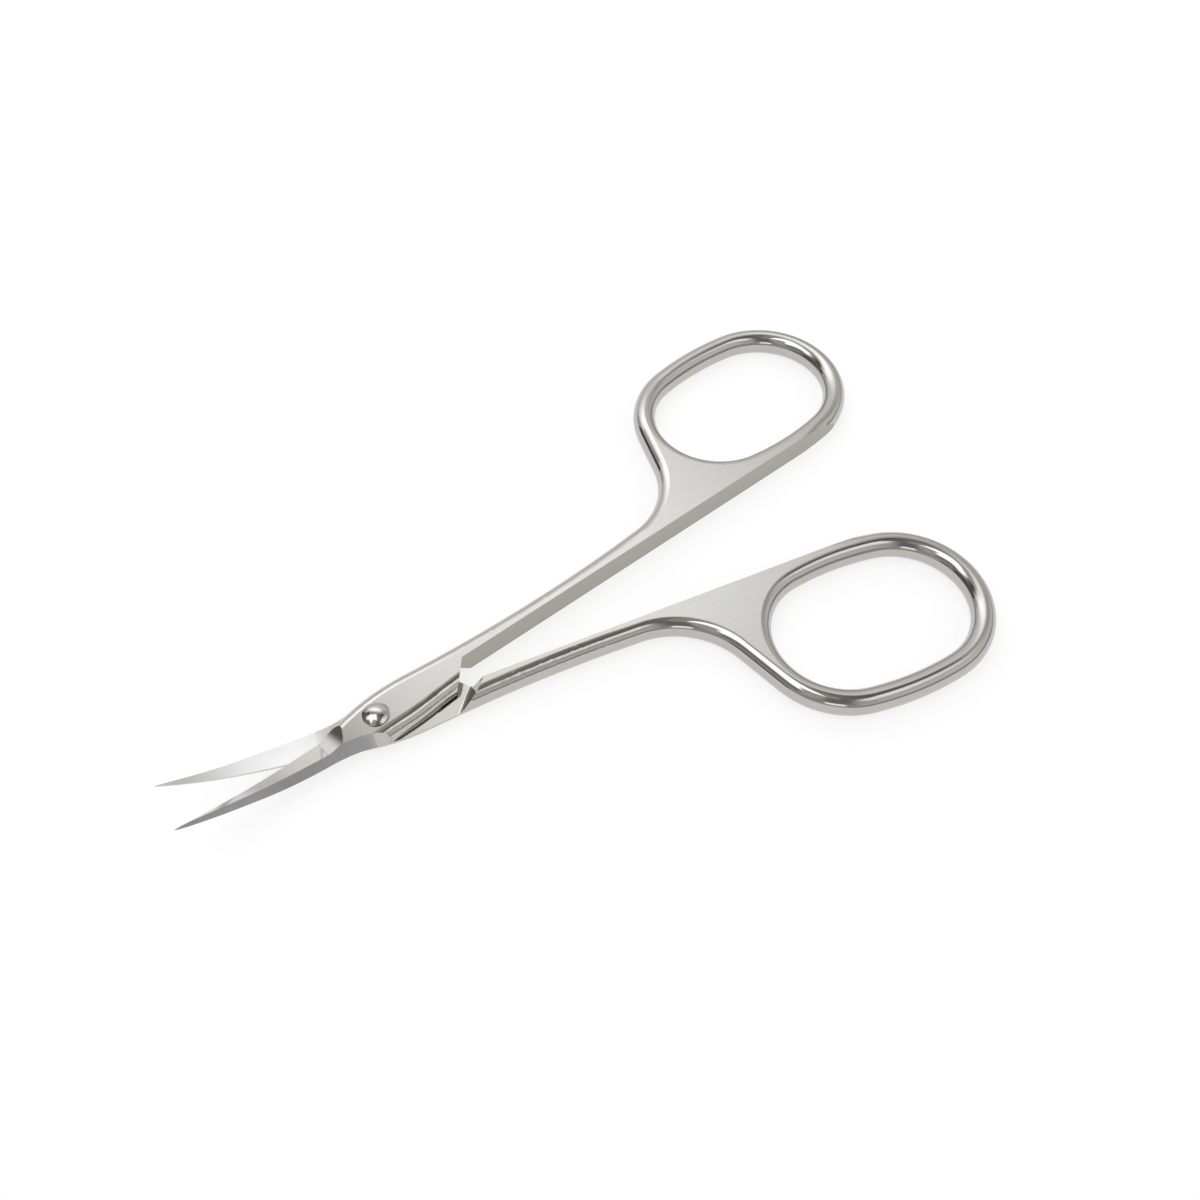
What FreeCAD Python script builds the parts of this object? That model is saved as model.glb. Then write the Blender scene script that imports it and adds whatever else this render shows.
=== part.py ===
import FreeCAD, Part
import math
import os

# Cuticle scissors with curved blades. Two polished steel halves cross at a
# half lap and turn on one domed rivet. Millimetres, +Z up. The origin is on
# the rivet's axis, in the plane that the closed handles lie on. +X runs to
# the finger rings along the line that halves the opening.

V = FreeCAD.Vector
PI = math.pi

# Stock and rim
thickness = 3.6
rim_depth = 1.58

# Opening of the two halves as they lie
opening_angle = 14.35

# Finger rings: both alike, the upper one further out
upper_ring_reach = 70.45
lower_ring_reach = 62.73
ring_offset = 11.89
hole_length = 26.84
hole_width = 18.46
ring_width = 3.2
ring_end_share = 0.967

# Neck between shank and ring
neck_radius = 11.0
neck_angle = 70.0

# Shank and boss outline, measured from the line of the inner walls
wall_offset = 0.26
boss_half_width = 3.47
boss_crest_reach = 3.0
boss_crest_radius = 28.0
shank_half_width = 2.31
shank_radius = 215.0
run_out_angle = 11.3
run_out_radius = 20.0
toe_radius = 1.9
toe_past = 0.9

# Half lap
lap_gap = 0.08
stop_angle = 40.9
stop_reach = 9.3
stop_clearance = 0.07
stop_lean = 36.6
end_lean = 10.0
relief_reach = 7.2
relief_depth = 0.08
stop_fillet = 0.6

# Blades: the mating faces turn about the rivet's axis
blade_reach = 26.2
curve_start = 5.0
curve_radius = 55.6
curve_ease = 1.6
edge_land = 0.4
tip_size = 0.12
station_shares = (0.19, 0.286, 0.4, 0.54, 0.7, 0.83, 0.93, 1.0)
foot_width = 1.61
foot_shares = (1.0, 1.0, 0.9, 0.73, 0.46, 0.27, 0.13, 0.0)
edge_width = 1.4
edge_shares = (1.0, 1.0, 0.91, 0.71, 0.49, 0.3, 0.11, 0.0)
ridge_inset = 0.94
ridge_shares = (1.0, 1.0, 0.78, 0.58, 0.28, 0.06, -0.06, 0.0)
ridge_height = 1.15
ridge_height_shares = (1.0, 1.0, 0.98, 0.92, 0.76, 0.58, 0.38, 0.0)

# Concave step from the boss down to the blade, and the spine's ground flat
step_radius = 9.0
step_reach = 7.87
step_skew = 10.7
step_lift = 0.1
grind_radius = 15.0
grind_crest_reach = 7.9
grind_foot = 1.74
grind_lean = 31.6

# Domed rivet
rivet_diameter = 2.2
rivet_clearance = 0.04
rivet_seat_clearance = 0.02
head_diameter = 3.35
head_rim = 0.12
head_dome = 0.58
head_gap = 0.04
tail_diameter = 3.1
tail_depth = 0.5

# How far every cutter runs past what it cuts
overrun = 2.0

half = thickness / 2


def turned(angle, length=1):
    return V(length * math.cos(angle), length * math.sin(angle), 0)


def arc(centre, radius, start, end):
    # One arc of an outline; it turns left where end is more than start.
    return ("arc", centre, radius, math.radians(start), math.radians(end))


def line(start, end):
    return ("line", start, end)


def first_point(piece):
    if piece[0] == "line":
        return piece[1]
    return piece[1] + turned(piece[3], piece[2])


def last_point(piece):
    if piece[0] == "line":
        return piece[2]
    return piece[1] + turned(piece[4], piece[2])


def inset(piece):
    # The same piece of outline, moved by the rim's depth into the metal.
    if piece[0] == "line":
        along = (piece[2] - piece[1]).normalize()
        inward = V(-along.y, along.x, 0) * rim_depth
        return ("line", piece[1] + inward, piece[2] + inward)
    radius = piece[2] - math.copysign(rim_depth, piece[4] - piece[3])
    return ("arc", piece[1], radius, piece[3], piece[4])


def flat_edge(piece, level):
    up = V(0, 0, level)
    if piece[0] == "line":
        return Part.LineSegment(piece[1] + up, piece[2] + up).toShape()
    middle = piece[1] + turned((piece[3] + piece[4]) / 2, piece[2])
    return Part.Arc(first_point(piece) + up, middle + up, last_point(piece) + up).toShape()


def rim_section(foot, outward):
    # Half an ellipse, from the top face round to the bottom face.
    top = foot + V(0, 0, half)
    side = foot + outward * rim_depth
    if half >= rim_depth:
        return Part.Ellipse(top, side, foot).toShape(0, PI)
    return Part.Ellipse(side, top, foot).toShape(-PI / 2, PI / 2)


def rim_face(piece):
    if piece[0] == "line":
        run = piece[2] - piece[1]
        outward = V(run.y, -run.x, 0).normalize()
        return rim_section(piece[1], outward).extrude(run)
    sweep = piece[4] - piece[3]
    outward = turned(piece[3]) * math.copysign(1, sweep)
    section = rim_section(first_point(piece), outward)
    return section.revolve(piece[1], V(0, 0, 1), math.degrees(sweep))


def rounded_plate(*outlines):
    # A plate with a full elliptical rim along every outline and hole.
    faces = []
    loops = [[inset(piece) for piece in outline] for outline in outlines]
    for level in (-half, half):
        wires = [Part.Wire([flat_edge(piece, level) for piece in loop]) for loop in loops]
        faces.append(Part.Face(wires, "Part::FaceMakerBullseye"))
    for loop in loops:
        faces += [rim_face(piece) for piece in loop]
    shell = Part.Shell(faces)
    shell.sewShape()
    plate = Part.Solid(shell)
    if plate.Volume < 0:
        plate.reverse()
    return plate


def ring_sizes(length, width):
    # End radius, side radius and half angle of the four-arc oval.
    end = ring_end_share * (hole_width + ring_width) / 2 + (width - hole_width - ring_width) / 2
    long_part = length / 2 - end
    side = (long_part ** 2 + (width / 2) ** 2 - end ** 2) / (width - 2 * end)
    return end, side, math.degrees(math.atan2(long_part, side - width / 2))


def finger_hole(reach):
    end, side, slant = ring_sizes(hole_length, hole_width)
    middle = V(reach, ring_offset, 0)
    away = V(hole_length / 2 - end, 0, 0)
    up = V(0, side - hole_width / 2, 0)
    return [
        arc(middle - away, end, 270 - slant, 90 + slant),
        arc(middle - up, side, 90 + slant, 90 - slant),
        arc(middle + away, end, 90 - slant, -90 + slant),
        arc(middle + up, side, -90 + slant, -90 - slant),
    ]


def half_outline(reach):
    # Counterclockwise from the boss's near side. What lies inside the line
    # of the inner wall is cut off later.
    length = hole_length + 2 * ring_width
    width = hole_width + 2 * ring_width
    end, side, slant = ring_sizes(length, width)
    middle = V(reach, ring_offset, 0)
    away = V(length / 2 - end, 0, 0)
    up = V(0, side - width / 2, 0)

    crest = boss_half_width - boss_crest_radius
    crest_low = V(boss_crest_reach, -crest, 0)
    crest_high = V(boss_crest_reach, crest, 0)
    radii = boss_crest_radius + shank_radius
    slope = math.acos(1 - (boss_half_width - shank_half_width) / radii)
    waist = boss_crest_reach + radii * math.sin(slope)
    shank = shank_half_width + shank_radius
    waist_low = V(waist, -shank, 0)
    waist_high = V(waist, shank, 0)

    run_out = middle + away + turned(math.radians(run_out_angle - 90), end)
    tilt = math.radians(run_out_angle)
    fall = run_out.y + shank - shank_radius
    bend = run_out_radius * (1 - math.cos(tilt))
    corner = (fall - bend) / math.sin(tilt)
    run_start = run_out - turned(tilt, corner)
    bend_centre = run_start + turned(tilt + PI / 2, run_out_radius)
    bend_start = bend_centre - V(0, run_out_radius, 0)

    side_neck = turned(math.radians(neck_angle + 90))
    neck_foot = middle - away + side_neck * end
    distance = (waist_high - neck_foot).dot(side_neck) - neck_radius
    turn = math.radians(neck_angle) - math.acos(distance / (shank_radius - neck_radius))
    neck = waist_high + V(math.sin(turn), -math.cos(turn), 0) * (shank_radius - neck_radius)
    neck_end = neck - side_neck * neck_radius

    toe_slope = math.asin((boss_crest_reach + step_reach + toe_past) / boss_crest_radius)
    toe_high = crest_high + turned(PI / 2 + toe_slope, boss_crest_radius - toe_radius)
    toe_low = V(toe_high.x, toe_radius - boss_half_width, 0)
    toe_side = V(toe_radius, 0, 0)
    low = V(0, boss_half_width, 0)
    shoulder = math.degrees(slope)
    turn = math.degrees(turn)
    toe = math.degrees(toe_slope)
    return [
        line(V(toe_low.x, 0, 0) - low, V(boss_crest_reach, 0, 0) - low),
        arc(crest_low, boss_crest_radius, -90, -90 + shoulder),
        arc(waist_low, shank_radius, 90 + shoulder, 90),
        line(waist_low + V(0, shank_radius, 0), bend_start),
        arc(bend_centre, run_out_radius, -90, -90 + run_out_angle),
        line(run_start, run_out),
        arc(middle + away, end, -90 + run_out_angle, 90 - slant),
        arc(middle - up, side, 90 - slant, 90 + slant),
        arc(middle - away, end, 90 + slant, 90 + neck_angle),
        line(neck_foot, neck_end),
        arc(neck, neck_radius, neck_angle - 90, turn - 90),
        arc(waist_high, shank_radius, turn - 90, -90 - shoulder),
        arc(crest_high, boss_crest_radius, 90 - shoulder, 90 + toe),
        arc(toe_high, toe_radius, 90 + toe, 180),
        line(toe_high - toe_side, toe_low - toe_side),
        arc(toe_low, toe_radius, 180, 270),
    ]


def block(start, end):
    size = end - start
    return Part.makeBox(size.x, size.y, size.z, start)


def far_reach():
    return max(upper_ring_reach, lower_ring_reach) + hole_length + ring_width


def beyond(reach, angle, lean=0):
    # Everything past a plane that stands across the half at a given reach;
    # a positive lean lets the plane run outwards as it goes up.
    big = far_reach()
    space = block(V(0, -big, -big), V(big, big, big))
    space.rotate(V(0, 0, 0), V(0, 1, 0), lean)
    space.rotate(V(0, 0, 0), V(0, 0, 1), angle)
    space.translate(turned(math.radians(angle), reach))
    return space


def curve_rise(distance, radius):
    past = max(distance - curve_start, 0)
    return radius - math.sqrt(radius ** 2 - past ** 2)


def below_blade(side):
    # All that lies below the mating face on the blade's side of the rivet.
    radius = curve_radius - side * curve_ease / 2
    floor = lap_gap / 2
    deep = -thickness - curve_rise(blade_reach + overrun, radius) - overrun
    end = blade_reach + overrun
    rise = side * curve_rise(end, radius)
    lean = math.asin((end - curve_start) / radius) / 2
    middle = V(curve_start + radius * math.sin(lean), 0, floor + side * radius * (1 - math.cos(lean)))
    near = V(curve_start, 0, floor)
    tip = V(end, 0, floor + rise)
    outline = Part.Wire([
        Part.LineSegment(V(0, 0, deep), V(0, 0, floor)).toShape(),
        Part.LineSegment(V(0, 0, floor), near).toShape(),
        Part.Arc(near, middle, tip).toShape(),
        Part.LineSegment(tip, V(end, 0, deep)).toShape(),
        Part.LineSegment(V(end, 0, deep), V(0, 0, deep)).toShape(),
    ])
    space = Part.Face(outline).revolve(V(0, 0, 0), V(0, 0, 1), 180)
    space.rotate(V(0, 0, 0), V(0, 0, 1), 90)
    return space


def lap_recess():
    # The other half's room: flat under the boss, deeper near the stop, with a
    # fillet at the foot of the stop's wall.
    big = far_reach()
    space = block(V(0, -big, -big), V(big, big, lap_gap / 2))
    deeper = block(V(relief_reach, -big, -big), V(big, big, lap_gap / 2 + relief_depth))
    space = space.fuse(deeper).cut(beyond(stop_reach, stop_angle, -stop_lean))
    across = turned(math.radians(stop_angle))
    upper = [edge for edge in space.Edges if edge.BoundBox.ZMin > (lap_gap + relief_depth) / 2]
    foot = min(upper, key=lambda edge: abs(edge.CenterOfMass.dot(across) - stop_reach))
    return space.makeFillet(stop_fillet, [foot])


def step_tool():
    # A round cutter laid across the blade's root, as steep as the blade's top
    # face, and all past it.
    big = 2 * boss_half_width + overrun
    drop = ridge_height + tip_size / 2 - edge_land
    slope = math.atan2(drop, ridge_inset + edge_width + tip_size)
    tool = Part.makeCylinder(step_radius, 2 * big, V(0, 0, -big), V(0, 0, 1))
    tool.rotate(V(0, 0, 0), V(1, 0, 0), 90)
    # It ends half way to where the blade's top face comes out of the round.
    inside = math.sqrt(2 * step_radius * max(tip_size - step_lift, 0)) / 2
    past = block(V(-big, -big, -big), V(inside, big, big))
    past.translate(V(0, 0, -step_radius))
    both = tool.fuse(past)
    both.rotate(V(0, 0, 0), V(1, 0, 0), -math.degrees(slope))
    both.rotate(V(0, 0, 0), V(0, 0, 1), step_skew)
    height = ridge_height + step_lift
    normal = V(0, math.sin(slope), math.cos(slope)) * step_radius
    skew = math.radians(step_skew)
    normal = V(-normal.y * math.sin(skew), normal.y * math.cos(skew), normal.z)
    both.translate(V(-step_reach, -ridge_inset, height) + normal)
    return both


def spine_grind():
    # The slanting flat ground along the near side of boss and blade root; it
    # runs out on the boss's rounded rim.
    drop = math.acos(1 - boss_half_width / grind_radius)
    centre = V(-grind_crest_reach, -grind_foot - grind_radius, 0)
    crest = centre + turned(PI / 2, grind_radius)
    left = centre + turned(PI / 2 + drop, grind_radius)
    right = centre + turned(PI / 2 - drop, grind_radius)
    low = V(0, far_reach(), 0)
    outline = Part.Wire([
        Part.Arc(left, crest, right).toShape(),
        Part.LineSegment(right, right - low).toShape(),
        Part.LineSegment(right - low, left - low).toShape(),
        Part.LineSegment(left - low, left).toShape(),
    ])
    rise = V(0, math.tan(math.radians(grind_lean)), 1) * (thickness + overrun)
    outline.translate(-rise)
    return Part.Face(outline).extrude(rise * 2)


def blade(side):
    # Three-sided sections along the curve, from the root to a fine point.
    sections = []
    rows = zip(station_shares, foot_shares, edge_shares, ridge_shares, ridge_height_shares)
    for along, foot, edge, ridge, height in rows:
        reach = blade_reach * along
        level = side * curve_rise(reach, curve_radius)
        crest = V(-reach, -ridge_inset * ridge, level + ridge_height * height + tip_size)
        heel = V(-reach, -foot_width * foot - tip_size, level)
        land = edge_land * height + tip_size / 2
        rim = V(-reach, edge_width * edge + tip_size, level + land)
        lower = V(0, 0, -overrun - land)
        under = crest + (heel - crest) * ((crest.z - level + overrun) / (crest.z - heel.z))
        sections.append(Part.makePolygon([crest, rim, rim + lower, under, crest]))
    return Part.makeLoft(sections, True, False)


def scissor_half(reach, side, bore):
    # One half in its own frame: the lap plane is z = 0, its metal above.
    body = rounded_plate(half_outline(reach), finger_hole(reach))
    body = body.cut(step_tool()).cut(spine_grind())
    body = body.fuse(blade(side))
    body = body.cut(below_blade(side)).cut(lap_recess())
    big = far_reach()
    inner = block(V(0, -big, -big), V(big, wall_offset, big))
    inner = inner.common(beyond(stop_reach - stop_clearance, -stop_angle, end_lean))
    body = body.cut(inner)
    pin = Part.makeCylinder(bore / 2, 2 * big, V(0, 0, -big))
    return body.cut(pin)


def rivet():
    # Domed head, shank, and a tail spread into the lower half.
    shank = rivet_diameter / 2
    head = head_diameter / 2
    tail = tail_diameter / 2
    under = thickness + head_gap
    brim = under + head_rim
    top = brim + head_dome
    ball = (head ** 2 + head_dome ** 2) / (2 * head_dome)
    lean = math.asin(head / ball) / 2
    dome = V(ball * math.sin(lean), 0, top - ball * (1 - math.cos(lean)))
    corners = [
        V(0, 0, 0),
        V(tail, 0, 0),
        V(shank, 0, tail_depth),
        V(shank, 0, under),
        V(head, 0, under),
        V(head, 0, brim),
    ]
    edges = [Part.LineSegment(a, b).toShape() for a, b in zip(corners, corners[1:])]
    edges.append(Part.Arc(corners[-1], dome, V(0, 0, top)).toShape())
    edges.append(Part.LineSegment(V(0, 0, top), corners[0]).toShape())
    return Part.Face(Part.Wire(edges)).revolve(V(0, 0, 0), V(0, 0, 1), 360)


def tail_seat():
    # The countersink that the rivet's tail is spread into.
    shank = rivet_diameter / 2 + rivet_seat_clearance
    tail = tail_diameter / 2 + rivet_seat_clearance
    wide = tail + (tail - shank) * overrun / tail_depth
    return Part.makeCone(wide, shank, tail_depth + overrun, V(0, 0, -overrun))


def upper_half():
    body = scissor_half(upper_ring_reach, 1, rivet_diameter + 2 * rivet_clearance)
    body.translate(V(0, 0, half))
    body.rotate(V(0, 0, 0), V(0, 0, 1), opening_angle / 2)
    return body


def lower_half():
    body = scissor_half(lower_ring_reach, -1, rivet_diameter + 2 * rivet_seat_clearance)
    body.rotate(V(0, 0, 0), V(1, 0, 0), 180)
    body.translate(V(0, 0, half))
    body = body.cut(tail_seat())
    body.rotate(V(0, 0, 0), V(0, 0, 1), -opening_angle / 2)
    return body


def save(name, shape):
    solid = shape.Solids[0]
    print(name, len(shape.Solids), solid.isValid(), round(solid.Volume, 3), len(solid.Faces))
    solid.exportStep("parts/" + name + ".step")


os.makedirs("parts", exist_ok=True)
save("upper_half", upper_half())
save("lower_half", lower_half())
save("pivot_rivet", rivet())
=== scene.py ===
import math

import bmesh
import bpy
import numpy
from mathutils import Matrix, Vector

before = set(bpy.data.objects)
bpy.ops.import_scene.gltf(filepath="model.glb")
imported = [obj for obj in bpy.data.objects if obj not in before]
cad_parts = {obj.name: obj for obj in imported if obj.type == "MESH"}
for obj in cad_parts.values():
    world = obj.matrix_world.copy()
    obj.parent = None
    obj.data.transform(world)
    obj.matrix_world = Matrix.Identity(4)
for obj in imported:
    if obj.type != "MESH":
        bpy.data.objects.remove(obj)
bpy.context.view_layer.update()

bl_info = {
    "name": "Cuticle scissors",
    "version": (1, 0, 0),
    "blender": (4, 5, 0),
    "location": "View3D > Sidebar > Scissors",
    "description": "Dresses a pair of cuticle scissors and sets up a studio for it",
    "category": "Object",
}

MM = 0.001
# Which side of the lap plane each half's metal lies on: 1 above it, -1 below it.
HALVES = {"upper_half": 1, "lower_half": -1}

# What tells a half's ground faces apart, in the half's own frame: handle along
# +X from the rivet, lap plane at zero, metal above it. In a pair, the face
# begins at the first value and is all there at the second.
LEVEL_FACE = (0.9985, 0.9999)  # upward part of the normal
OUTER_DEPTH = (0.008 * MM, 0.002 * MM)  # below the outer face
LAP_HEIGHT = 0.5 * MM  # level faces lower than this are lap faces
UPRIGHT_FACE = 0.05  # upward part of the normal, at most
WALL_REACH = 0.35 * MM  # to either side of the handle's line
BLADE_START = 0.05 * MM  # from the root towards the point
ROOT_SPAN = (2.5 * MM, -1 * MM)  # from the root, towards the rivet
FLANK_FACE = (-0.45, -0.5)  # sideways part of the normal
CUTTING_FACE = (-0.9, -0.95)  # upward part of the normal
SPINE_DISTANCE = (0.06 * MM, 0.04 * MM)  # from the arc that the wheel leaves

# Where one painted tone of light and shade runs into the next, along the handle.
CUTTING_HIGHLIGHT_FADE = 17 * MM  # from the root towards the point
BOSS_SHADE_FADE = (-7 * MM, 4 * MM)  # from the rivet

# The steel's patterns.
BELT_STRETCH = 0.04  # belt marks are drawn out along the handle
WHEEL_STRETCH = 0.08  # wheel marks are drawn out across the blade
BELT_CELL = 2  # mark spacings in one cell of the noise
WHEEL_CELL = 4
STREAK_SHADES = (0.94, 1.05)
MARK_HEIGHT = 0.01 * MM
BUFF_PATCH = 6 * MM
RIM_SPREAD = 0.3  # share by which the roughness goes up and down
GROUND_SPREAD = 0.15
RIVET_PATCH = 1.2 * MM
RIVET_ROUGHNESS = (0.02, 0.05)

# The table and the camera, which was fitted to the object's outline in the photo.
TABLE_SIZE = 6000 * MM
TABLE_DROP = 0.05 * MM  # keeps the table clear of the lower half
SENSOR_WIDTH = 36.0
CAMERA_PLACE = (-17.22, -79.78, 135.76)  # millimetres from the rivet
CAMERA_AHEAD = (0.3031, 0.4935, -0.8153)
CAMERA_RIGHT = (0.8521, -0.5233, 0)
CAMERA_SHIFT = 0.00033
CAMERA_NEAR = 5 * MM


def linear(code):
    """The linear colour of an sRGB hex value."""
    parts = [int(code[i:i + 2], 16) / 255 for i in (1, 3, 5)]
    return [p / 12.92 if p <= 0.04045 else ((p + 0.055) / 1.055) ** 2.4 for p in parts] + [1.0]


def add(tree, kind, links=None, **settings):
    """A node with its settings; links holds sockets or values by input name or number."""
    node = tree.nodes.new(kind)
    for name, value in settings.items():
        setattr(node, name, value)
    for key, value in (links or {}).items():
        if isinstance(value, bpy.types.NodeSocket):
            tree.links.new(value, node.inputs[key])
        else:
            node.inputs[key].default_value = value
    return node


def new_material(name):
    """A material with an empty node tree."""
    material = bpy.data.materials.new(name)
    material.use_nodes = True
    material.node_tree.nodes.clear()
    return material


def forged_stainless(name, sizes, side):
    """Forged stainless steel: buffed rims that draw the lights as long clean
    bands, flats ground to a soft satin glow, and blades ground all over. Each
    ground face has a tone of its own that is painted light and shade, set so
    that the face looks about as bright as in the photo."""
    material = new_material(name)
    tree = material.node_tree
    place = add(tree, "ShaderNodeTexCoord")
    turn = (0, 0, -sizes.half_opening)
    own = add(tree, "ShaderNodeMapping",
              {"Vector": place.outputs["Object"], "Rotation": turn, "Scale": (1, side, side),
               "Location": (0, 0, -side * sizes.lap_level)})
    spot = add(tree, "ShaderNodeSeparateXYZ", {0: own.outputs[0]})
    facing = add(tree, "ShaderNodeMapping",
                 {"Vector": place.outputs["Normal"], "Rotation": turn, "Scale": (1, side, side)},
                 vector_type="VECTOR")
    tilt = add(tree, "ShaderNodeSeparateXYZ", {0: facing.outputs[0]})

    def combine(operation, *values):
        return add(tree, "ShaderNodeMath", dict(enumerate(values)), operation=operation).outputs[0]

    def step(value, low, high):
        return add(tree, "ShaderNodeMapRange", {"Value": value, "From Min": low, "From Max": high},
                   interpolation_type="SMOOTHSTEP").outputs[0]

    def blend(share, low, high):
        return add(tree, "ShaderNodeMix", {"Factor": share, 6: low, 7: high}, data_type="RGBA").outputs[2]

    upright = combine("ABSOLUTE", tilt.outputs["Z"])
    height = combine("ABSOLUTE", spot.outputs["Z"])
    # Ground top, bottom and lap faces lie level.
    flat = step(upright, *LEVEL_FACE)
    lap = combine("MULTIPLY", flat, combine("LESS_THAN", height, LAP_HEIGHT))
    outer = step(height, *(sizes.lap_level - depth for depth in OUTER_DEPTH))
    outer = combine("MULTIPLY", flat, outer)
    level = combine("MAXIMUM", lap, outer)
    # The ground inner wall stands upright on the line of the handle.
    steep = combine("LESS_THAN", upright, UPRIGHT_FACE)
    inner = combine("LESS_THAN", combine("ABSOLUTE", spot.outputs["Y"]), WALL_REACH)
    wall = combine("MULTIPLY", steep, inner)
    # The blade is ground all over: flank, bevel and the face it cuts with.
    blade = step(spot.outputs["X"], -sizes.blade_root, -sizes.blade_root - BLADE_START)
    flank = step(tilt.outputs["Y"], *FLANK_FACE)
    cutting = step(tilt.outputs["Z"], *CUTTING_FACE)
    root = step(spot.outputs["X"], *(-sizes.blade_root + reach for reach in ROOT_SPAN))
    blade = combine("MAXIMUM", blade, combine("MULTIPLY", cutting, root))
    # The slanting flat along the spine: a hollow arc in plan that leans over.
    reach = combine("ADD", spot.outputs["X"], sizes.grind_crest)
    arch = combine("DIVIDE", combine("MULTIPLY", reach, reach), 2 * sizes.grind_radius)
    lean = combine("MULTIPLY", spot.outputs["Z"], math.tan(sizes.grind_lean))
    foot = combine("ADD", spot.outputs["Y"], sizes.grind_foot)
    distance = combine("SUBTRACT", combine("ADD", foot, arch), lean)
    spine = step(combine("ABSOLUTE", distance), *SPINE_DISTANCE)
    spine = combine("MULTIPLY", spine, combine("LESS_THAN", spot.outputs["X"], 0.0))
    across = combine("MAXIMUM", blade, spine)
    ground = combine("MAXIMUM", combine("MAXIMUM", level, wall), across)

    # Belt marks run along the handle, a line about every tenth of a millimetre.
    long_way = add(tree, "ShaderNodeMapping", {"Vector": own.outputs[0], "Scale": (BELT_STRETCH, 1, 1)})
    marks = add(tree, "ShaderNodeTexNoise",
                {"Vector": long_way.outputs[0], "Scale": 1 / (sizes.mark_spacing * BELT_CELL),
                 "Detail": 3.0, "Roughness": 0.6})
    # The wheel's marks cross the blade and the spine. Like the belt's, they are
    # drawn coarser than the real ones, which are too fine to show.
    cross_way = add(tree, "ShaderNodeMapping",
                    {"Vector": own.outputs[0], "Scale": (1, WHEEL_STRETCH, WHEEL_STRETCH)})
    lines = add(tree, "ShaderNodeTexNoise",
                {"Vector": cross_way.outputs[0], "Scale": 1 / (sizes.mark_spacing * WHEEL_CELL),
                 "Detail": 4.0, "Roughness": 0.7})
    grain = add(tree, "ShaderNodeMix", {"Factor": across, 2: marks.outputs["Fac"], 3: lines.outputs["Fac"]})
    # Buffing leaves the rims faintly uneven, in patches a few millimetres across.
    buff = add(tree, "ShaderNodeTexNoise",
               {"Vector": own.outputs[0], "Scale": 1 / BUFF_PATCH, "Detail": 4.0, "Roughness": 0.55})

    def uneven(pattern, middle, spread):
        return add(tree, "ShaderNodeMapRange",
                   {"Value": pattern, "From Min": 0.3, "From Max": 0.7, "To Min": middle * (1 - spread),
                    "To Max": middle * (1 + spread)}).outputs[0]

    rough = uneven(buff.outputs["Fac"], sizes.rim_roughness, RIM_SPREAD)
    for mask, middle in ((combine("MAXIMUM", level, wall), sizes.flat_roughness),
                         (lap, sizes.lap_roughness),
                         (across, sizes.blade_roughness),
                         (combine("MULTIPLY", across, flank), sizes.flank_roughness)):
        brushed = uneven(grain.outputs[0], middle, GROUND_SPREAD)
        rough = add(tree, "ShaderNodeMix", {"Factor": mask, 2: rough, 3: brushed}).outputs[0]

    # The cutting face is painted lighter towards the root, a painted reflection, as in the photo.
    inside = step(spot.outputs["X"], -sizes.blade_root - CUTTING_HIGHLIGHT_FADE, -sizes.blade_root)
    inside = blend(inside, linear(sizes.point_painted_shade), linear(sizes.root_painted_highlight))
    # Painted light and shade on the blades: the bevel lighter, the flank and spine darker, the cutting face
    # a painted reflection. The streaks multiplied in below are wheel marks.
    blades = blend(flank, blend(cutting, linear(sizes.bevel_painted_highlight), inside), linear(sizes.flank_painted_shade))
    blades = blend(spine, blades, linear(sizes.flank_painted_shade))
    streaks = blend(lines.outputs["Fac"], *((shade, shade, shade, 1) for shade in STREAK_SHADES))
    blades = add(tree, "ShaderNodeMix", {"Factor": 1.0, 6: blades, 7: streaks}, data_type="RGBA",
                 blend_type="MULTIPLY").outputs[2]
    # The flat is painted darker at the front of the boss, a painted shade, as in the photo.
    flats = step(spot.outputs["X"], *BOSS_SHADE_FADE)
    flats = blend(flats, linear(sizes.boss_painted_shade), linear(sizes.flat_painted_shading))
    tone = blend(buff.outputs["Fac"], linear(sizes.steel_low), linear(sizes.steel_high))
    # Each ground face takes its painted light and shade here.
    for mask, colour in ((level, flats), (lap, linear(sizes.lap_painted_shading)), (wall, linear(sizes.wall_painted_shade)),
                         (across, blades)):
        tone = blend(mask, tone, colour)
    bump = add(tree, "ShaderNodeBump",
               {"Strength": combine("MULTIPLY", ground, sizes.mark_depth), "Distance": MARK_HEIGHT,
                "Height": grain.outputs[0]})
    steel = add(tree, "ShaderNodeBsdfPrincipled",
                {"Base Color": tone, "Metallic": 1.0, "Roughness": rough, "Normal": bump.outputs[0]})
    add(tree, "ShaderNodeOutputMaterial", {"Surface": steel.outputs[0]})
    return material


def rivet_stainless(name, sizes):
    """Cold-headed stainless wire, its dome polished to a mirror that holds a
    small picture of the whole studio."""
    material = new_material(name)
    tree = material.node_tree
    place = add(tree, "ShaderNodeTexCoord")
    buff = add(tree, "ShaderNodeTexNoise",
               {"Vector": place.outputs["Object"], "Scale": 1 / RIVET_PATCH, "Detail": 3.0})
    smooth = add(tree, "ShaderNodeMapRange",
                 {"Value": buff.outputs["Fac"], "To Min": RIVET_ROUGHNESS[0], "To Max": RIVET_ROUGHNESS[1]})
    tone = add(tree, "ShaderNodeMix",
               {"Factor": buff.outputs["Fac"], 6: linear(sizes.steel_low), 7: linear(sizes.steel_high)},
               data_type="RGBA")
    steel = add(tree, "ShaderNodeBsdfPrincipled",
                {"Base Color": tone.outputs[2], "Metallic": 1.0, "Roughness": smooth.outputs[0]})
    add(tree, "ShaderNodeOutputMaterial", {"Surface": steel.outputs[0]})
    return material


def dress(node, material):
    """Put one material in every slot of a CAD piece."""
    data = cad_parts[node].data
    if not data.materials:
        data.materials.append(material)
    for index in range(len(data.materials)):
        data.materials[index] = material


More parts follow.
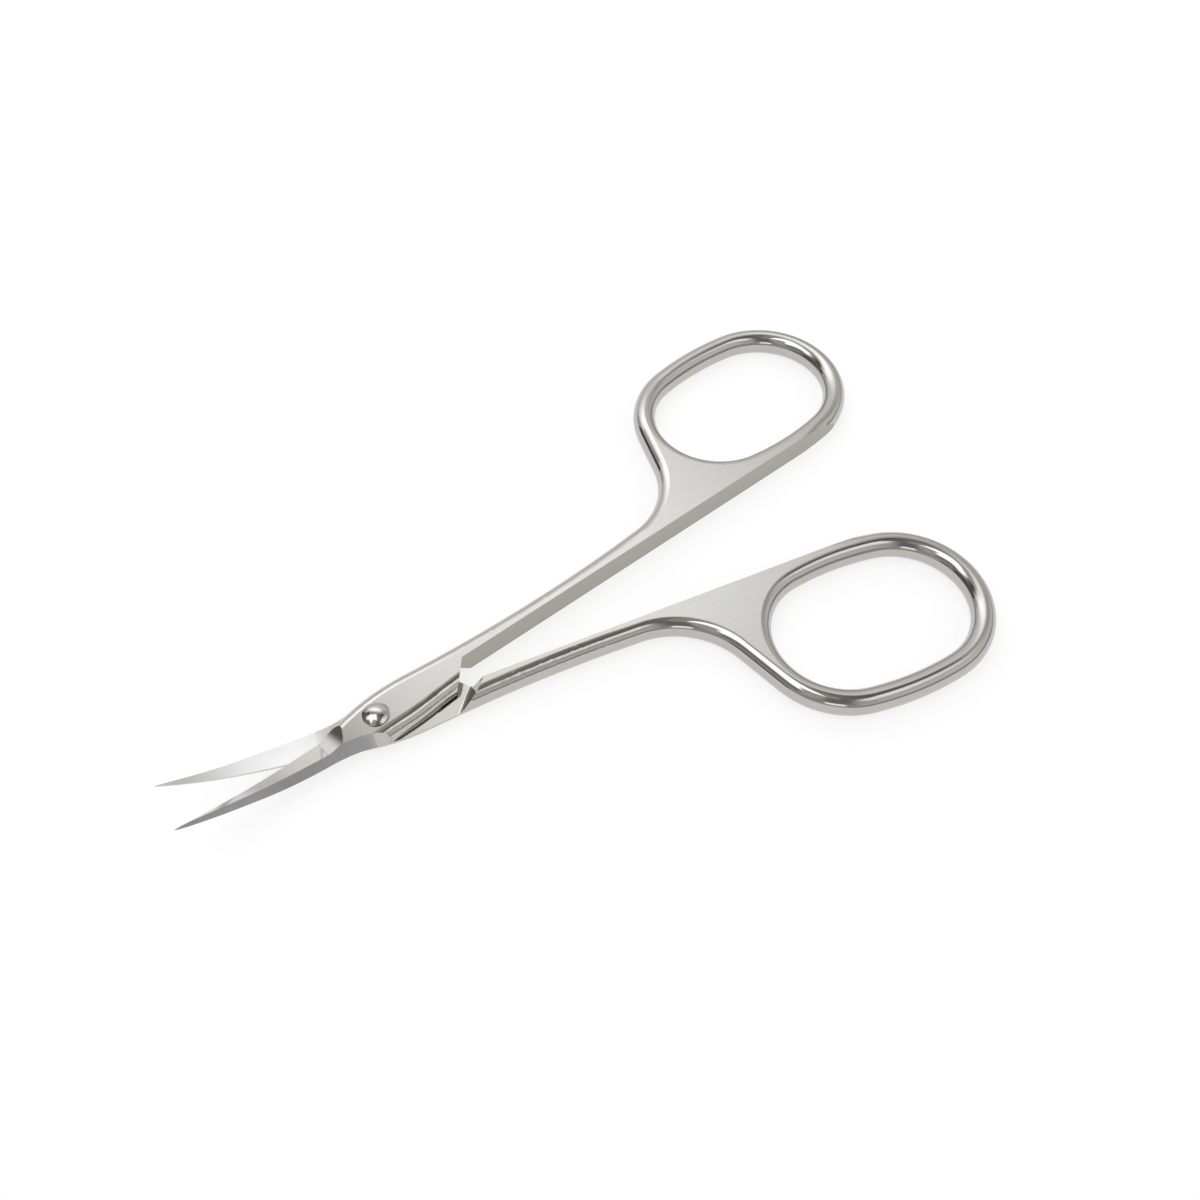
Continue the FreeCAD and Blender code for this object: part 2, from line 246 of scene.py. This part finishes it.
class SteelSettings(bpy.types.PropertyGroup):
    steel_low: bpy.props.StringProperty(
        name="Steel, darker tone", description="sRGB hex colour of the steel's darker patches",
        default="#B8B6B2")
    steel_high: bpy.props.StringProperty(
        name="Steel, lighter tone", description="sRGB hex colour of the steel's lighter patches",
        default="#BEBCB8")
    # The tones from here down to the root's are painted light and shade: each ground face is made lighter
    # or darker than the steel to stand in for the light it mirrors.
    flat_painted_shading: bpy.props.StringProperty(
        name="Flat tone", description="sRGB hex colour of the ground flats", default="#B7B6B3")
    # Painted shade: the front of the boss is made darker than the flats.
    boss_painted_shade: bpy.props.StringProperty(
        name="Boss tone", description="sRGB hex colour of the ground flat at the front of the boss",
        default="#A5A19A")
    lap_painted_shading: bpy.props.StringProperty(
        name="Lap tone", description="sRGB hex colour of the ground lap faces", default="#B5B2AE")
    # Painted shade: the inner walls are made darker than the steel.
    wall_painted_shade: bpy.props.StringProperty(
        name="Wall tone", description="sRGB hex colour of the ground inner walls", default="#A6A39E")
    # Painted shade: the flank and the spine's flat are made darker than the steel.
    flank_painted_shade: bpy.props.StringProperty(
        name="Flank tone", description="sRGB hex colour of the blade's flank and the spine's flat",
        default="#ABAAAA")
    # Painted highlight: the bevel is made lighter than the steel.
    bevel_painted_highlight: bpy.props.StringProperty(
        name="Bevel tone", description="sRGB hex colour of the blade's bevel", default="#CFCECA")
    # Painted reflection along the cutting face: darker at the point, lighter at the root.
    point_painted_shade: bpy.props.StringProperty(
        name="Point tone", description="sRGB hex colour of the cutting face at the point",
        default="#949391")
    root_painted_highlight: bpy.props.StringProperty(
        name="Root tone", description="sRGB hex colour of the cutting face at the root",
        default="#D5D4D4")
    rim_roughness: bpy.props.FloatProperty(
        name="Rim roughness", description="Roughness of the buffed rims", default=0.018, min=0.0, max=1.0)
    flat_roughness: bpy.props.FloatProperty(
        name="Flat roughness", description="Roughness of the ground flats", default=0.22, min=0.0, max=1.0)
    lap_roughness: bpy.props.FloatProperty(
        name="Lap roughness", description="Roughness of the ground lap faces",
        default=0.08, min=0.0, max=1.0)
    blade_roughness: bpy.props.FloatProperty(
        name="Blade roughness", description="Roughness of the ground blades",
        default=0.14, min=0.0, max=1.0)
    flank_roughness: bpy.props.FloatProperty(
        name="Flank roughness", description="Roughness of the blades' ground flanks",
        default=0.32, min=0.0, max=1.0)
    mark_spacing: bpy.props.FloatProperty(
        name="Mark spacing", description="Distance between grinding marks",
        default=0.1 * MM, min=0.01 * MM, unit="LENGTH", precision=5)
    mark_depth: bpy.props.FloatProperty(
        name="Mark depth", description="Strength of the grinding marks", default=0.08, min=0.0, max=1.0)
    half_opening: bpy.props.FloatProperty(
        name="Half opening", description="Angle between one half and the middle line",
        default=math.radians(14.35 / 2), subtype="ANGLE")
    lap_level: bpy.props.FloatProperty(
        name="Lap level", description="Height of the plane where the halves meet",
        default=1.8 * MM, unit="LENGTH", precision=5)
    blade_root: bpy.props.FloatProperty(
        name="Blade root", description="Distance from the rivet to the end of the step",
        default=7.5 * MM, unit="LENGTH", precision=5)
    grind_crest: bpy.props.FloatProperty(
        name="Grind crest", description="Distance from the rivet to the deepest point of the spine's flat",
        default=7.9 * MM, unit="LENGTH", precision=5)
    grind_foot: bpy.props.FloatProperty(
        name="Grind foot", description="Half width left at the foot of the spine's flat",
        default=1.74 * MM, unit="LENGTH", precision=5)
    grind_radius: bpy.props.FloatProperty(
        name="Grind radius", description="Radius of the wheel that ground the spine's flat",
        default=15 * MM, unit="LENGTH", precision=5)
    grind_lean: bpy.props.FloatProperty(
        name="Grind lean", description="Slant of the spine's flat",
        default=math.radians(31.6), subtype="ANGLE")


class StageSettings(bpy.types.PropertyGroup):
    floor_colour: bpy.props.StringProperty(
        name="Table colour", description="sRGB hex colour of the table", default="#969696")
    floor_lift: bpy.props.FloatProperty(
        name="Table lift", description="Light added to the table's picture to bring it to white",
        default=0.755)
    lens: bpy.props.FloatProperty(
        name="Lens", description="Focal length on a 36 mm sensor, in millimetres", default=37.83)
    tent_radius: bpy.props.FloatProperty(
        name="Tent radius", description="Distance from the rivet to the tent's cloth",
        default=500 * MM, unit="LENGTH")
    tent_parts: bpy.props.IntProperty(
        name="Tent parts", description="Number of pieces round the tent", default=288, min=24)


class SCISSORS_OT_halves(bpy.types.Operator):
    """Give both halves their buffed and ground stainless steel"""
    bl_idname = "scissors.halves"
    bl_label = "Halves"

    def execute(self, context):
        for node, side in HALVES.items():
            dress(node, forged_stainless(node + "_forged_stainless", context.scene.scissors_steel, side))
        return {"FINISHED"}


class SCISSORS_OT_rivet(bpy.types.Operator):
    """Give the rivet its mirror-polished dome"""
    bl_idname = "scissors.rivet"
    bl_label = "Rivet"

    def execute(self, context):
        dress("pivot_rivet", rivet_stainless("rivet_headed_stainless", context.scene.scissors_steel))
        return {"FINISHED"}


# Lit and dark sheets that hang in the tent, each over the ones before it:
# azimuth, elevation, roll, half width and half height as seen from the rivet
# (degrees), edge softness, and light given off (red, green, blue). The first 22
# rows and the room below come from a scratch program's fit to how bright the
# photo's metal is, changed by hand since. The other rows were set one by one.
# One factor then raised the light of all of them.
SHEETS = (
    (51, 48, 22.9, 46.3, 23.6, 0.31, (0.56, 0.55, 0.52)),
    (71.6, 26.3, -15.8, 43.2, 15.1, 0.95, (0.99, 0.99, 0.98)),
    (78, 3.1, -6.3, 33.6, 9, 0.3, (0.73, 0.73, 0.73)),
    (302.1, 53.6, -5.1, 26.2, 9.5, 0.85, (1.32, 1.32, 1.32)),
    (325.1, 23.4, -4.4, 43.1, 12.4, 0.8, (0.87, 0.87, 0.85)),
    (136.5, 13.6, -1.6, 31.7, 38, 0.29, (0.09, 0.09, 0.09)),
    (208.3, -5.4, 1.8, 28.6, 22.7, 0.83, (0.41, 0.43, 0.44)),
    (179.5, -9.1, -8.5, 9.1, 19.4, 0.39, (0.05, 0.05, 0.05)),
    (108, 5.6, 2.9, 5.5, 15.5, 0.23, (0.54, 0.54, 0.55)),
    (238.1, 52.8, -3.2, 23.8, 25.9, 0.55, (0.22, 0.22, 0.22)),
    (332.6, 68.6, 1.4, 12.3, 4.2, 0.29, (0.21, 0.20, 0.18)),
    (30.4, 75.4, 0.9, 26.6, 2.8, 0.22, (0.23, 0.23, 0.21)),
    (204.5, 48.3, 3.5, 15, 15.7, 0.67, (0.72, 0.71, 0.67)),
    (159.4, 35.5, -0.3, 22.3, 14.4, 0.4, (0.45, 0.45, 0.46)),
    (74.6, 46.8, -28.2, 27.3, 10.3, 0.88, (2.02, 2.04, 2.10)),
    (163.7, 71.6, 8.7, 21.3, 20, 0.35, (2.30, 2.32, 2.33)),
    (150.8, 51.2, -10.6, 7.5, 11.5, 0.72, (2.04, 2.06, 2.12)),
    (240, 18.2, 2.4, 9.9, 6.7, 0.22, (1.52, 1.52, 1.55)),
    (185.1, 95.2, -31, 27.2, 3.9, 0.21, (0.44, 0.44, 0.41)),
    (62.8, 64.6, -1.9, 5.8, 7.5, 0.46, (1.40, 1.39, 1.37)),
    (77.9, 69.9, -7.7, 11.2, 5.7, 0.66, (0.55, 0.54, 0.49)),
    (101.4, 28.1, -11.6, 15.1, 2.5, 0.55, (1.32, 1.33, 1.38)),
    (20, -15, 0, 20, 22, 0.3, (0.51, 0.51, 0.51)),
    (105, 60.5, 0, 7.5, 8, 0.4, (0.51, 0.51, 0.51)),
    (13, 57, 0, 8, 9, 0.4, (0.54, 0.54, 0.54)),
    (354, 61, 0, 5.5, 8, 0.4, (0.12, 0.12, 0.12)),
    (215, 57, 0, 9, 16, 0.35, (0.54, 0.54, 0.54)),
    (181, 35.5, 0, 17, 11, 0.3, (0.29, 0.29, 0.29)),
    (141, 24, 0, 17, 10, 0.35, (0.18, 0.18, 0.18)),
    (140, -2.5, 0, 17, 4.6, 0.4, (0.44, 0.44, 0.44)),
    (306, 54.5, -4, 11.5, 6.5, 0.35, (1.40, 1.40, 1.40)),
    (274, 35.5, 0, 9, 6, 0.4, (0.56, 0.56, 0.56)),
    (298, -2.5, 0, 45, 3.4, 0.4, (0.90, 0.90, 0.90)),
    (297, 8.2, 0, 46, 4.6, 0.35, (0.38, 0.38, 0.38)),
    (275, 21.5, 0, 11, 4, 0.4, (0.71, 0.71, 0.71)),
)
# The tent's own light by the upward part of the direction. The table hides
# what lies below zero.
ROOM = (
    (0.00, (0.57, 0.57, 0.59)),
    (0.30, (0.45, 0.44, 0.44)),
    (0.70, (0.66, 0.67, 0.70)),
    (0.90, (0.13, 0.12, 0.11)),
    (1.00, (0.34, 0.34, 0.32)),
)
# A direction misses a sheet when its cosine with the sheet's middle is this or less.
LEAST_AHEAD = 0.02


def sheet_frame(azimuth, elevation, roll):
    """The direction to a sheet's middle and its two edges' directions."""
    azimuth, elevation, roll = (math.radians(v) for v in (azimuth, elevation, roll))
    ahead = Vector((math.cos(elevation) * math.cos(azimuth), math.cos(elevation) * math.sin(azimuth),
                    math.sin(elevation)))
    level = Vector((-math.sin(azimuth), math.cos(azimuth), 0))
    rise = ahead.cross(level)
    across = level * math.cos(roll) + rise * math.sin(roll)
    upward = rise * math.cos(roll) - level * math.sin(roll)
    return ahead, across, upward


def fade(value, softness):
    """One inside a sheet's edge, nought outside it, and a soft step between."""
    share = numpy.clip((1 + softness - value) / (2 * softness), 0, 1)
    return share * share * (3 - 2 * share)


def studio_light(directions):
    """The light that comes from each direction: the room with its sheets laid over it."""
    heights = [height for height, colour in ROOM]
    light = numpy.stack([numpy.interp(directions[:, 2], heights, [colour[i] for height, colour in ROOM])
                         for i in range(3)], axis=1)
    for azimuth, elevation, roll, width, tall, softness, colour in SHEETS:
        axes = sheet_frame(azimuth, elevation, roll)
        ahead, across, upward = (directions @ numpy.array(axis) for axis in axes)
        depth = numpy.maximum(ahead, LEAST_AHEAD)
        share = (fade(abs(across) / depth / math.tan(math.radians(width)), softness)
                 * fade(abs(upward) / depth / math.tan(math.radians(tall)), softness)
                 * (ahead > LEAST_AHEAD))
        light += (numpy.array(colour) - light) * share[:, None]
    return light


def studio_tent(stage):
    """A tent of cloth all round the table, lit and darkened where its sheets hang."""
    shape = bmesh.new()
    bmesh.ops.create_uvsphere(shape, u_segments=stage.tent_parts, v_segments=stage.tent_parts // 2,
                              radius=stage.tent_radius)
    bmesh.ops.reverse_faces(shape, faces=shape.faces[:])
    mesh = bpy.data.meshes.new("studio_tent")
    shape.to_mesh(mesh)
    shape.free()
    places = numpy.empty(len(mesh.vertices) * 3, dtype=numpy.float32)
    mesh.vertices.foreach_get("co", places)
    light = studio_light(places.reshape(-1, 3) / stage.tent_radius)
    light = numpy.column_stack((light, numpy.ones(len(light)))).astype(numpy.float32)
    mesh.attributes.new("light", "FLOAT_COLOR", "POINT").data.foreach_set("color", light.ravel())
    tent = bpy.data.objects.new("studio_tent", mesh)
    bpy.context.scene.collection.objects.link(tent)
    material = new_material("lit_tent_cloth")
    tree = material.node_tree
    cloth = add(tree, "ShaderNodeAttribute", attribute_name="light")
    glow = add(tree, "ShaderNodeEmission", {"Color": cloth.outputs["Color"], "Strength": 1.0})
    # The camera looks through the cloth at the white room.
    clear = add(tree, "ShaderNodeBsdfTransparent")
    path = add(tree, "ShaderNodeLightPath")
    seen = add(tree, "ShaderNodeMixShader",
               {0: path.outputs["Is Camera Ray"], 1: glow.outputs[0], 2: clear.outputs[0]})
    add(tree, "ShaderNodeOutputMaterial", {"Surface": seen.outputs[0]})
    material.cycles.emission_sampling = "NONE"
    mesh.materials.append(material)


def white_room(world):
    """The white room outside the tent."""
    world.use_nodes = True
    tree = world.node_tree
    tree.nodes.clear()
    white = add(tree, "ShaderNodeBackground", {"Color": (1, 1, 1, 1), "Strength": 1.0})
    add(tree, "ShaderNodeOutputWorld", {"Surface": white.outputs[0]})


def studio_floor(stage):
    """A matt pale table. The camera sees it lifted to white, with the object's
    shadow kept, and the metal mirrors it the same way."""
    bpy.ops.mesh.primitive_plane_add(size=TABLE_SIZE, location=(0, 0, 0))
    floor = bpy.context.active_object
    floor.name = "studio_floor"
    floor.data.transform(Matrix.Translation((0, 0, -TABLE_DROP)))
    material = new_material("matt_pale_table")
    tree = material.node_tree
    path = add(tree, "ShaderNodeLightPath")
    mirrored = add(tree, "ShaderNodeMath",
                   {0: path.outputs["Is Glossy Ray"], 1: path.outputs["Is Transmission Ray"]},
                   operation="MAXIMUM")
    shown = add(tree, "ShaderNodeMath",
                {0: path.outputs["Is Camera Ray"], 1: mirrored.outputs[0]}, operation="MAXIMUM")
    lift = add(tree, "ShaderNodeMath", {0: shown.outputs[0], 1: stage.floor_lift}, operation="MULTIPLY")
    paint = add(tree, "ShaderNodeBsdfDiffuse", {"Color": linear(stage.floor_colour)})
    glow = add(tree, "ShaderNodeEmission", {"Color": (1, 1, 1, 1), "Strength": lift.outputs[0]})
    both = add(tree, "ShaderNodeAddShader", {0: paint.outputs[0], 1: glow.outputs[0]})
    add(tree, "ShaderNodeOutputMaterial", {"Surface": both.outputs[0]})
    material.cycles.emission_sampling = "NONE"
    floor.data.materials.append(material)


def photo_camera(scene, stage):
    """The camera at the photograph's place and angle."""
    data = bpy.data.cameras.new("camera")
    data.sensor_width = SENSOR_WIDTH
    data.lens = stage.lens
    data.clip_start = CAMERA_NEAR
    data.shift_y = CAMERA_SHIFT
    camera = bpy.data.objects.new("camera", data)
    scene.collection.objects.link(camera)
    ahead = Vector(CAMERA_AHEAD).normalized()
    right = Vector(CAMERA_RIGHT).normalized()
    upward = right.cross(ahead)
    turn = Matrix((right, upward, -ahead)).transposed().to_4x4()
    camera.matrix_world = Matrix.Translation(Vector(CAMERA_PLACE) * MM) @ turn
    scene.camera = camera


class SCISSORS_OT_stage(bpy.types.Operator):
    """Set up the table, the soft light round it and the camera"""
    bl_idname = "scissors.stage"
    bl_label = "Stage"

    def execute(self, context):
        stage = context.scene.scissors_stage
        studio_floor(stage)
        studio_tent(stage)
        world = bpy.data.worlds.new("white_room")
        white_room(world)
        context.scene.world = world
        photo_camera(context.scene, stage)
        context.scene.view_settings.view_transform = "Standard"
        return {"FINISHED"}


class SCISSORS_PT_panel(bpy.types.Panel):
    bl_idname = "SCISSORS_PT_panel"
    bl_label = "Cuticle scissors"
    bl_space_type = "VIEW_3D"
    bl_region_type = "UI"
    bl_category = "Scissors"

    def draw(self, context):
        layout = self.layout
        for group in (context.scene.scissors_steel, context.scene.scissors_stage):
            for name in group.__annotations__:
                layout.prop(group, name)
        for operator in OPERATORS:
            layout.operator(operator.bl_idname)


OPERATORS = (SCISSORS_OT_halves, SCISSORS_OT_rivet, SCISSORS_OT_stage)
CLASSES = (SteelSettings, StageSettings) + OPERATORS + (SCISSORS_PT_panel,)


def register():
    for cls in CLASSES:
        bpy.utils.register_class(cls)
    bpy.types.Scene.scissors_steel = bpy.props.PointerProperty(type=SteelSettings)
    bpy.types.Scene.scissors_stage = bpy.props.PointerProperty(type=StageSettings)


def unregister():
    del bpy.types.Scene.scissors_stage
    del bpy.types.Scene.scissors_steel
    for cls in reversed(CLASSES):
        bpy.utils.unregister_class(cls)


def main():
    register()
    bpy.ops.scissors.halves()
    bpy.ops.scissors.rivet()
    bpy.ops.scissors.stage()


if __name__ == "__main__":
    main()
